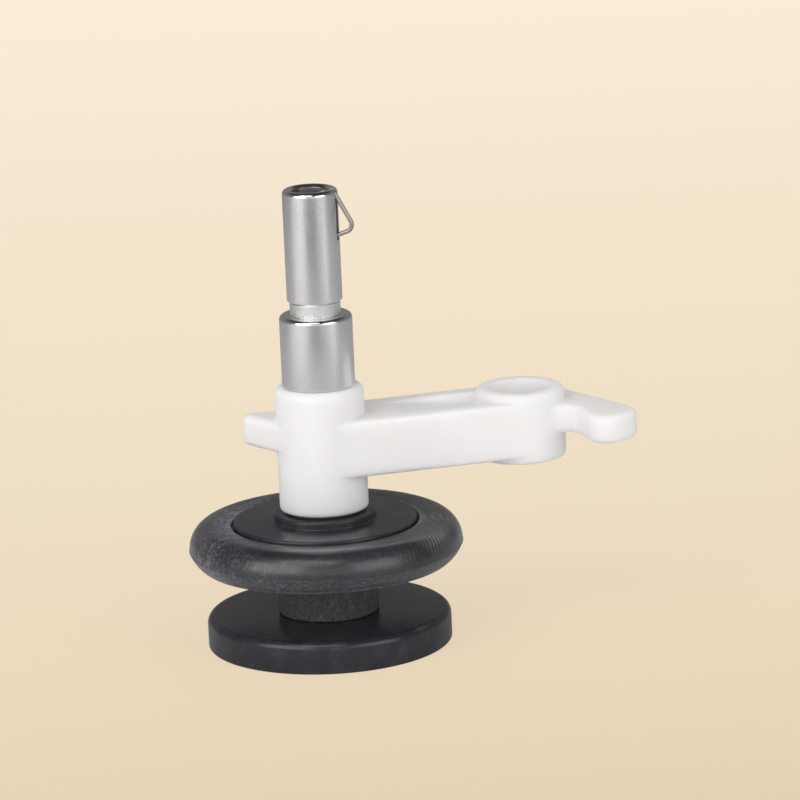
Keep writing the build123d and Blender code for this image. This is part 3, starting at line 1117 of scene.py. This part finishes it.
@dataclass
class DriveWheel:
    """Moulded hub with its rubber tyre and the thrust washer on its collar."""

    lathe: TurningTree
    moulding: Material
    bore_radius: float = 2.52
    edge: float = 0.05
    flange_thickness: float = 1.0
    groove_radius: float = 8.8
    thickness: float = 4.73
    flange_rounding: float = 0.22
    collar_radius: float = 5.55
    collar_rounding: float = 0.25
    collar_fillet: float = 0.12
    crown_radius: float = 12.55
    widest_height: float = 1.75
    lip_gap: float = 0.24
    lip_drop: float = 0.22
    lip_roundings: Span = (0.1, 0.12)
    foot_radius: float = 13.6
    flank_sagitta: float = 0.16
    foot_rounding: float = 0.3
    ridge: float = 0.05
    ridge_roundings: Span = (0.06, 0.03)
    seat_gap: float = 0.02
    crown_steps: int = 28
    lip_steps: int = 14
    flank_steps: int = 8

    def build(self) -> None:
        """Make the hub, the tyre and the washer."""
        self.build_hub()
        self.build_tyre()
        bore = self.bore_radius + self.seat_gap
        section = ring_section("thrust_washer", bore, self.edge, self.edge)
        washer = self.lathe.turn("thrust_washer_nylon", section, PLAIN_NYLON.material())
        install(washer, "thrust_washer")

    def build_hub(self) -> None:
        """Turn the hub, with the groove that holds the tyre."""
        low, high = node_box("wheel_hub")
        foot, collar_top, flange = low.z, high.z, high.x
        top = foot + self.thickness
        section = [
            (self.bore_radius, foot, self.edge),
            (flange, foot, self.flange_rounding),
            (flange, foot + self.flange_thickness, self.edge),
            (self.groove_radius, foot + self.flange_thickness),
            (self.groove_radius, top - self.flange_thickness),
            (flange, top - self.flange_thickness, self.edge),
            (flange, top, self.flange_rounding),
            (self.collar_radius, top, self.collar_fillet),
            (self.collar_radius, collar_top, self.collar_rounding),
            (self.bore_radius, collar_top, self.edge),
        ]
        hub = self.lathe.turn("hub_moulded", section, self.moulding)
        install(hub, "wheel_hub")

    def build_tyre(self) -> None:
        """Turn the tyre, with its flank, parting ridge, crown, lips and tongue."""
        low, high = node_box("friction_tyre")
        foot, crown, widest = low.z, high.z, high.x
        hub = node_box("wheel_hub")
        inner = hub.high.x + self.lip_gap
        tongue = self.groove_radius + self.seat_gap
        tongue_foot = hub.low.z + self.flange_thickness + self.seat_gap
        tongue_top = hub.low.z + self.thickness - self.flange_thickness - self.seat_gap
        side, level = widest - self.ridge, foot + self.widest_height
        low_lip, high_lip = self.lip_roundings
        ridge_root, ridge_tip = self.ridge_roundings
        start = (self.crown_radius, level + self.ridge)
        bulge = (side - self.crown_radius, crown - level - self.ridge)
        run = self.crown_radius - inner
        curve = (run**2 + self.lip_drop**2) / (2 * self.lip_drop)
        middle, radii = (self.crown_radius, crown - curve), (curve, curve)
        fall = arc(middle, radii, math.pi / 2, math.asin(run / curve), self.lip_steps)
        section = [
            (inner, foot, low_lip),
            (self.foot_radius, foot, self.foot_rounding),
            *self.flank(Vector((self.foot_radius, foot)), Vector((side, level - self.ridge))),
            (side, level - self.ridge, ridge_root),
            (widest, level, ridge_tip),
            (side, level + self.ridge),
            *arc(start, bulge, 0.0, math.pi / 2, self.crown_steps),
            *fall[:-1],
            (*fall[-1], high_lip),
            (inner, tongue_top),
            (tongue, tongue_top),
            (tongue, tongue_foot),
            (inner, tongue_foot),
        ]
        finish = TyreRubber(level, foot, inner).material()
        tyre = self.lathe.turn("tyre_moulded", section, finish)
        install(tyre, "friction_tyre")

    def flank(self, low: Vector, high: Vector) -> list[Corner]:
        """Bulge the tyre's lower flank.

        Args:
            low: the flank's foot, as radius and height.
            high: its top.
        Returns:
            The corners between the two.
        """
        chord = high - low
        bulge = Vector((chord.y, -chord.x)).normalized() * self.flank_sagitta
        shares = [i / self.flank_steps for i in range(1, self.flank_steps)]
        return [tuple(low + chord * s + bulge * 4 * s * (1 - s)) for s in shares]


@dataclass
class Stand:
    """Base disc with the sleeve above it and the retainer in its recess."""

    lathe: TurningTree
    moulding: Material
    bore_radius: float = 2.52
    bore_edge: float = 0.05
    rim_rounding: float = 0.88
    foot_rounding: float = 0.25
    recess_radius: float = 6.2
    recess_depth: float = 1.8
    recess_edge: float = 0.1
    sleeve_edge: float = 0.2
    washer_edge: float = 0.06
    ring_bevel: float = 0.05
    ring_bevel_steps: int = 2
    ring_crease: float = 30.0

    def build(self) -> None:
        """Make the disc, the sleeve, and the washer and ring that hold them."""
        self.build_disc()
        section = ring_section("spacer_sleeve", self.bore_radius, self.bore_edge, self.sleeve_edge)
        sleeve = self.lathe.turn("sleeve_ground", section, GroundRubber().material())
        install(sleeve, "spacer_sleeve")
        zinc, edge = ZINC_PLATE.material(), self.washer_edge
        section = ring_section("retaining_washer", self.bore_radius, edge, edge)
        washer = self.lathe.turn("retaining_washer_zinc", section, zinc)
        install(washer, "retaining_washer")
        self.build_ring(zinc)

    def build_disc(self) -> None:
        """Turn the disc, with the recess in its underside."""
        low, high = node_box("base_disc")
        foot, top, radius = low.z, high.z, high.x
        section = [
            (self.recess_radius, foot, self.recess_edge),
            (radius, foot, self.foot_rounding),
            (radius, top, self.rim_rounding),
            (self.bore_radius, top, self.bore_edge),
            (self.bore_radius, foot + self.recess_depth, self.bore_edge),
            (self.recess_radius, foot + self.recess_depth, self.recess_edge),
        ]
        disc = self.lathe.turn("disc_moulded", section, self.moulding)
        install(disc, "base_disc")

    def build_ring(self, finish: Material) -> None:
        """Round the edges of the spring ring under the disc.

        Args:
            finish: its material.
        """
        mesh = node_mesh("retaining_ring", finish)
        blank = finished_object("blank_ring", mesh, self.ring_crease)
        bevel = blank.modifiers.new("rounding", "BEVEL")
        bevel.width, bevel.segments = self.ring_bevel * MM, self.ring_bevel_steps
        bevel.limit_method, bevel.angle_limit = "ANGLE", math.radians(self.ring_crease)
        ring = finished_object("retaining_ring_zinc", plain_mesh(blank), self.ring_crease)
        install(ring, "retaining_ring")


@dataclass
class Arm:
    """The white moulded arm, with the soft edges of a worn tool."""

    grid: float = 0.17
    softness: float = 0.5
    softening: int = 4
    crease: float = 75.0
    bore_radius: float = 2.55

    def build(self) -> None:
        """Rebuild the moulding as one even skin, keep its bore true and dress it."""
        mesh = node_mesh("winder_arm", MilkyAcetal().material())
        mesh.transform(Matrix.Scale(1 / MM, 4))
        rough = finished_object("rough_arm", mesh)
        skin = rough.modifiers.new("skin", "REMESH")
        skin.mode, skin.voxel_size, skin.use_smooth_shade = "VOXEL", self.grid, True
        soft = rough.modifiers.new("soft", "SMOOTH")
        soft.factor, soft.iterations = self.softness, self.softening
        mesh = plain_mesh(rough)
        for vertex in mesh.vertices:
            out = math.hypot(vertex.co.x, vertex.co.y)
            if out < self.bore_radius:
                vertex.co.xy *= self.bore_radius / out
        mesh.transform(Matrix.Scale(MM, 4))
        install(finished_object("arm_moulded", mesh, self.crease), "winder_arm")


# ---- the studio


def outward(azimuth: float, elevation: float) -> Vector:
    """Give the direction from the object to an azimuth and an elevation, in degrees.

    Args:
        azimuth: 0 on the -Y side, and growing towards +X.
        elevation: height above level.
    Returns:
        The direction.
    """
    turn, rise = math.radians(azimuth), math.radians(elevation)
    flat = Vector((math.sin(turn), -math.cos(turn), 0.0)) * math.cos(rise)
    return flat + Vector((0.0, 0.0, math.sin(rise)))


class Softbox(NamedTuple):
    """One soft lamp, aimed at the middle of the object."""

    name: str
    azimuth: float
    elevation: float
    distance: float
    width: float
    height: float
    energy: float

    def place(self, aim: Vector) -> None:
        """Hang the lamp.

        Args:
            aim: the point it faces, in metres.
        """
        lamp = bpy.data.lights.new(self.name, "AREA")
        lamp.shape, lamp.energy = "RECTANGLE", self.energy
        lamp.size, lamp.size_y = self.width * MM, self.height * MM
        stand = put_in_scene(self.name, lamp)
        stand.visible_camera = False
        back = outward(self.azimuth, self.elevation)
        stand.location = aim + back * self.distance * MM
        stand.rotation_mode = "QUATERNION"
        stand.rotation_quaternion = (-back).to_track_quat("-Z", "Y")


@dataclass(frozen=True)
class Camera:
    """Camera set by its direction and by where one point of the object falls."""

    azimuth: float = -15.7
    pitch: float = 14.136
    roll: float = 2.5
    distance: float = 585.441
    focal_pixels: float = 5411.12
    frame_pixels: float = 800.0
    anchor_height: float = 25.0
    anchor_column: float = 320.285
    anchor_row: float = 417.808
    sensor: float = 36.0
    clip: Span = (0.01, 50.0)

    def place(self) -> None:
        """Add the camera and make it the scene's own."""
        turn, roll = math.radians(self.azimuth), math.radians(self.roll)
        forward = -outward(self.azimuth, self.pitch)
        level = Vector((math.cos(turn), math.sin(turn), 0.0))
        upward = level.cross(forward)
        right = level * math.cos(roll) - upward * math.sin(roll)
        top = level * math.sin(roll) + upward * math.cos(roll)
        middle, pixel = self.frame_pixels / 2, self.distance / self.focal_pixels
        across, up = (self.anchor_column - middle) * pixel, (middle - self.anchor_row) * pixel
        anchor = Vector((0.0, 0.0, self.anchor_height))
        spot = anchor - forward * self.distance - right * across - top * up
        data = bpy.data.cameras.new("camera")
        data.sensor_width = self.sensor
        data.lens = self.focal_pixels / self.frame_pixels * self.sensor
        data.clip_start, data.clip_end = self.clip
        camera = put_in_scene("camera", data)
        turned = Matrix((right, top, -forward)).transposed().to_4x4()
        camera.matrix_world = Matrix.Translation(spot * MM) @ turned
        bpy.context.scene.camera = camera


@dataclass
class Studio:
    """Plain pale floor, soft lamps and the camera."""

    camera: Camera = field(default_factory=Camera)
    floor_size: float = 6000.0
    floor_drop: float = 0.02
    near_cream: Triple = (0.80, 0.66, 0.46)
    far_cream: Triple = (0.93, 0.82, 0.66)
    near_edge: float = -60.0
    far_edge: float = 400.0
    falloff: float = 0.6
    glow: float = 0.8
    near_glow: float = 0.985
    far_glow: float = 1.165
    bounce: Triple = (0.83, 0.805, 0.79)
    mirrored_floor: float = 0.53
    mirrored_dark: float = 0.0
    mirrored_edge: Span = (168.0, 188.0)
    mirrored_spread: Span = (0.86, 0.98)
    surround: Triple = (0.445, 0.438, 0.433)
    mirrored_surround: float = 0.19
    mirrored_overhead: float = 0.045
    overhead: Span = (0.35, 0.8)

    def lamps(self) -> list[Softbox]:
        """Set out the lamps: azimuth, elevation, distance, width, height and watts.

        Returns:
            The lamps, which are still to be hung.
        """
        facing = self.camera.azimuth
        return [
            Softbox("left_softbox", facing - 46.0, 25.0, 330.0, 260.0, 220.0, 0.385),
            Softbox("right_softbox", facing + 45.0, 25.0, 480.0, 320.0, 320.0, 0.54),
            Softbox("front_fill", facing, 16.0, 600.0, 620.0, 300.0, 0.34),
            Softbox("high_softbox", facing - 24.0, 56.0, 330.0, 240.0, 120.0, 0.19),
            Softbox("left_strip", facing - 62.0, 0.0, 110.0, 96.0, 46.0, 0.0026),
            Softbox("right_strip", facing + 51.0, 0.0, 110.0, 32.0, 46.0, 0.0015),
        ]

    def build(self) -> None:
        """Set up the floor, the surroundings, the lamps and the camera."""
        self.build_floor()
        self.build_world()
        low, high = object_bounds()
        lamps = self.lamps()
        for lamp in lamps:
            lamp.place((Vector(low) + Vector(high)) / 2)
        self.camera.place()
        bpy.context.scene.view_settings.view_transform = "Standard"
        log.info("studio: floor, %d lamps and the camera", len(lamps))

    def build_floor(self) -> None:
        """Lay the floor."""
        half, level = self.floor_size / 2 * MM, -self.floor_drop * MM
        mesh = bpy.data.meshes.new("floor")
        corners = [(-half, -half), (half, -half), (half, half), (-half, half)]
        mesh.from_pydata([(x, y, level) for x, y in corners], [], [(0, 1, 2, 3)])
        mesh.materials.append(self.floor_material())
        floor = put_in_scene("floor", mesh)
        floor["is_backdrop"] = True

    def floor_material(self) -> Material:
        """Make the floor cream to the eye and neutral to the light it throws back.

        Returns:
            The floor's material.
        """
        material = bpy.data.materials.new("floor")
        material.use_nodes = True
        material.node_tree.nodes.clear()
        graph = Graph(material.node_tree)
        path = graph.add("ShaderNodeLightPath").outputs
        place = graph.add("ShaderNodeTexCoord").outputs["Object"]
        turn = math.radians(self.camera.azimuth)
        away = graph.vector("DOT_PRODUCT", place, (-math.sin(turn), math.cos(turn), 0.0))
        limits = {"Value": away, "From Min": self.near_edge * MM, "From Max": self.far_edge * MM}
        depth = graph.out("ShaderNodeMapRange", limits)
        depth = graph.math("POWER", depth, self.falloff)
        cream = graph.mix(depth, self.near_cream, self.far_cream)
        lit = graph.out("ShaderNodeBsdfDiffuse", {"Color": cream})
        glow = graph.between(depth, self.near_glow, self.far_glow)
        even = graph.out("ShaderNodeEmission", {"Color": cream, "Strength": glow})
        seen = graph.out("ShaderNodeMixShader", {0: self.glow, 1: lit, 2: even})
        reach = graph.vector("LENGTH", place)
        toward = graph.math("DIVIDE", graph.times(away, -1.0), reach)
        dark = graph.times(
            graph.ramp(reach, *(edge * MM for edge in self.mirrored_edge)),
            graph.ramp(toward, *self.mirrored_spread),
        )
        mirrored = graph.between(dark, self.mirrored_floor, self.mirrored_dark)
        grey = graph.mix(path["Is Glossy Ray"], self.bounce, mirrored)
        bounced = graph.out("ShaderNodeBsdfDiffuse", {"Color": grey})
        shown = {0: path["Is Camera Ray"], 1: bounced, 2: seen}
        blend = graph.out("ShaderNodeMixShader", shown)
        graph.add("ShaderNodeOutputMaterial", {"Surface": blend})
        return material

    def build_world(self) -> None:
        """Surround the studio with an even grey that looks cream to the eye."""
        world = bpy.data.worlds.new("studio")
        bpy.context.scene.world = world
        world.use_nodes = True
        world.node_tree.nodes.clear()
        graph = Graph(world.node_tree)
        path = graph.add("ShaderNodeLightPath").outputs
        direction = graph.add("ShaderNodeTexCoord").outputs["Generated"]
        height = graph.add("ShaderNodeSeparateXYZ", {0: direction}).outputs[2]
        high = graph.ramp(height, *self.overhead)
        mirrored = graph.between(high, self.mirrored_surround, self.mirrored_overhead)
        grey = graph.mix(path["Is Glossy Ray"], self.surround, mirrored)
        colour = graph.mix(path["Is Camera Ray"], grey, self.far_cream)
        sky = graph.out("ShaderNodeBackground", {"Color": colour, "Strength": 1.0})
        graph.add("ShaderNodeOutputWorld", {"Surface": sky})


# ---- main


def main() -> None:
    """Dress every sub-assembly, then set up the studio round it."""
    logging.basicConfig(level=logging.INFO, format="%(name)s: %(message)s")
    lathe = TurningTree("turning")
    moulding = BlackMoulding().material()
    for assembly in (Arm(), Spindle(lathe), DriveWheel(lathe, moulding), Stand(lathe, moulding)):
        assembly.build()
        log.info("%s built", type(assembly).__name__)
    Studio().build()


if __name__ == "__main__":
    main()
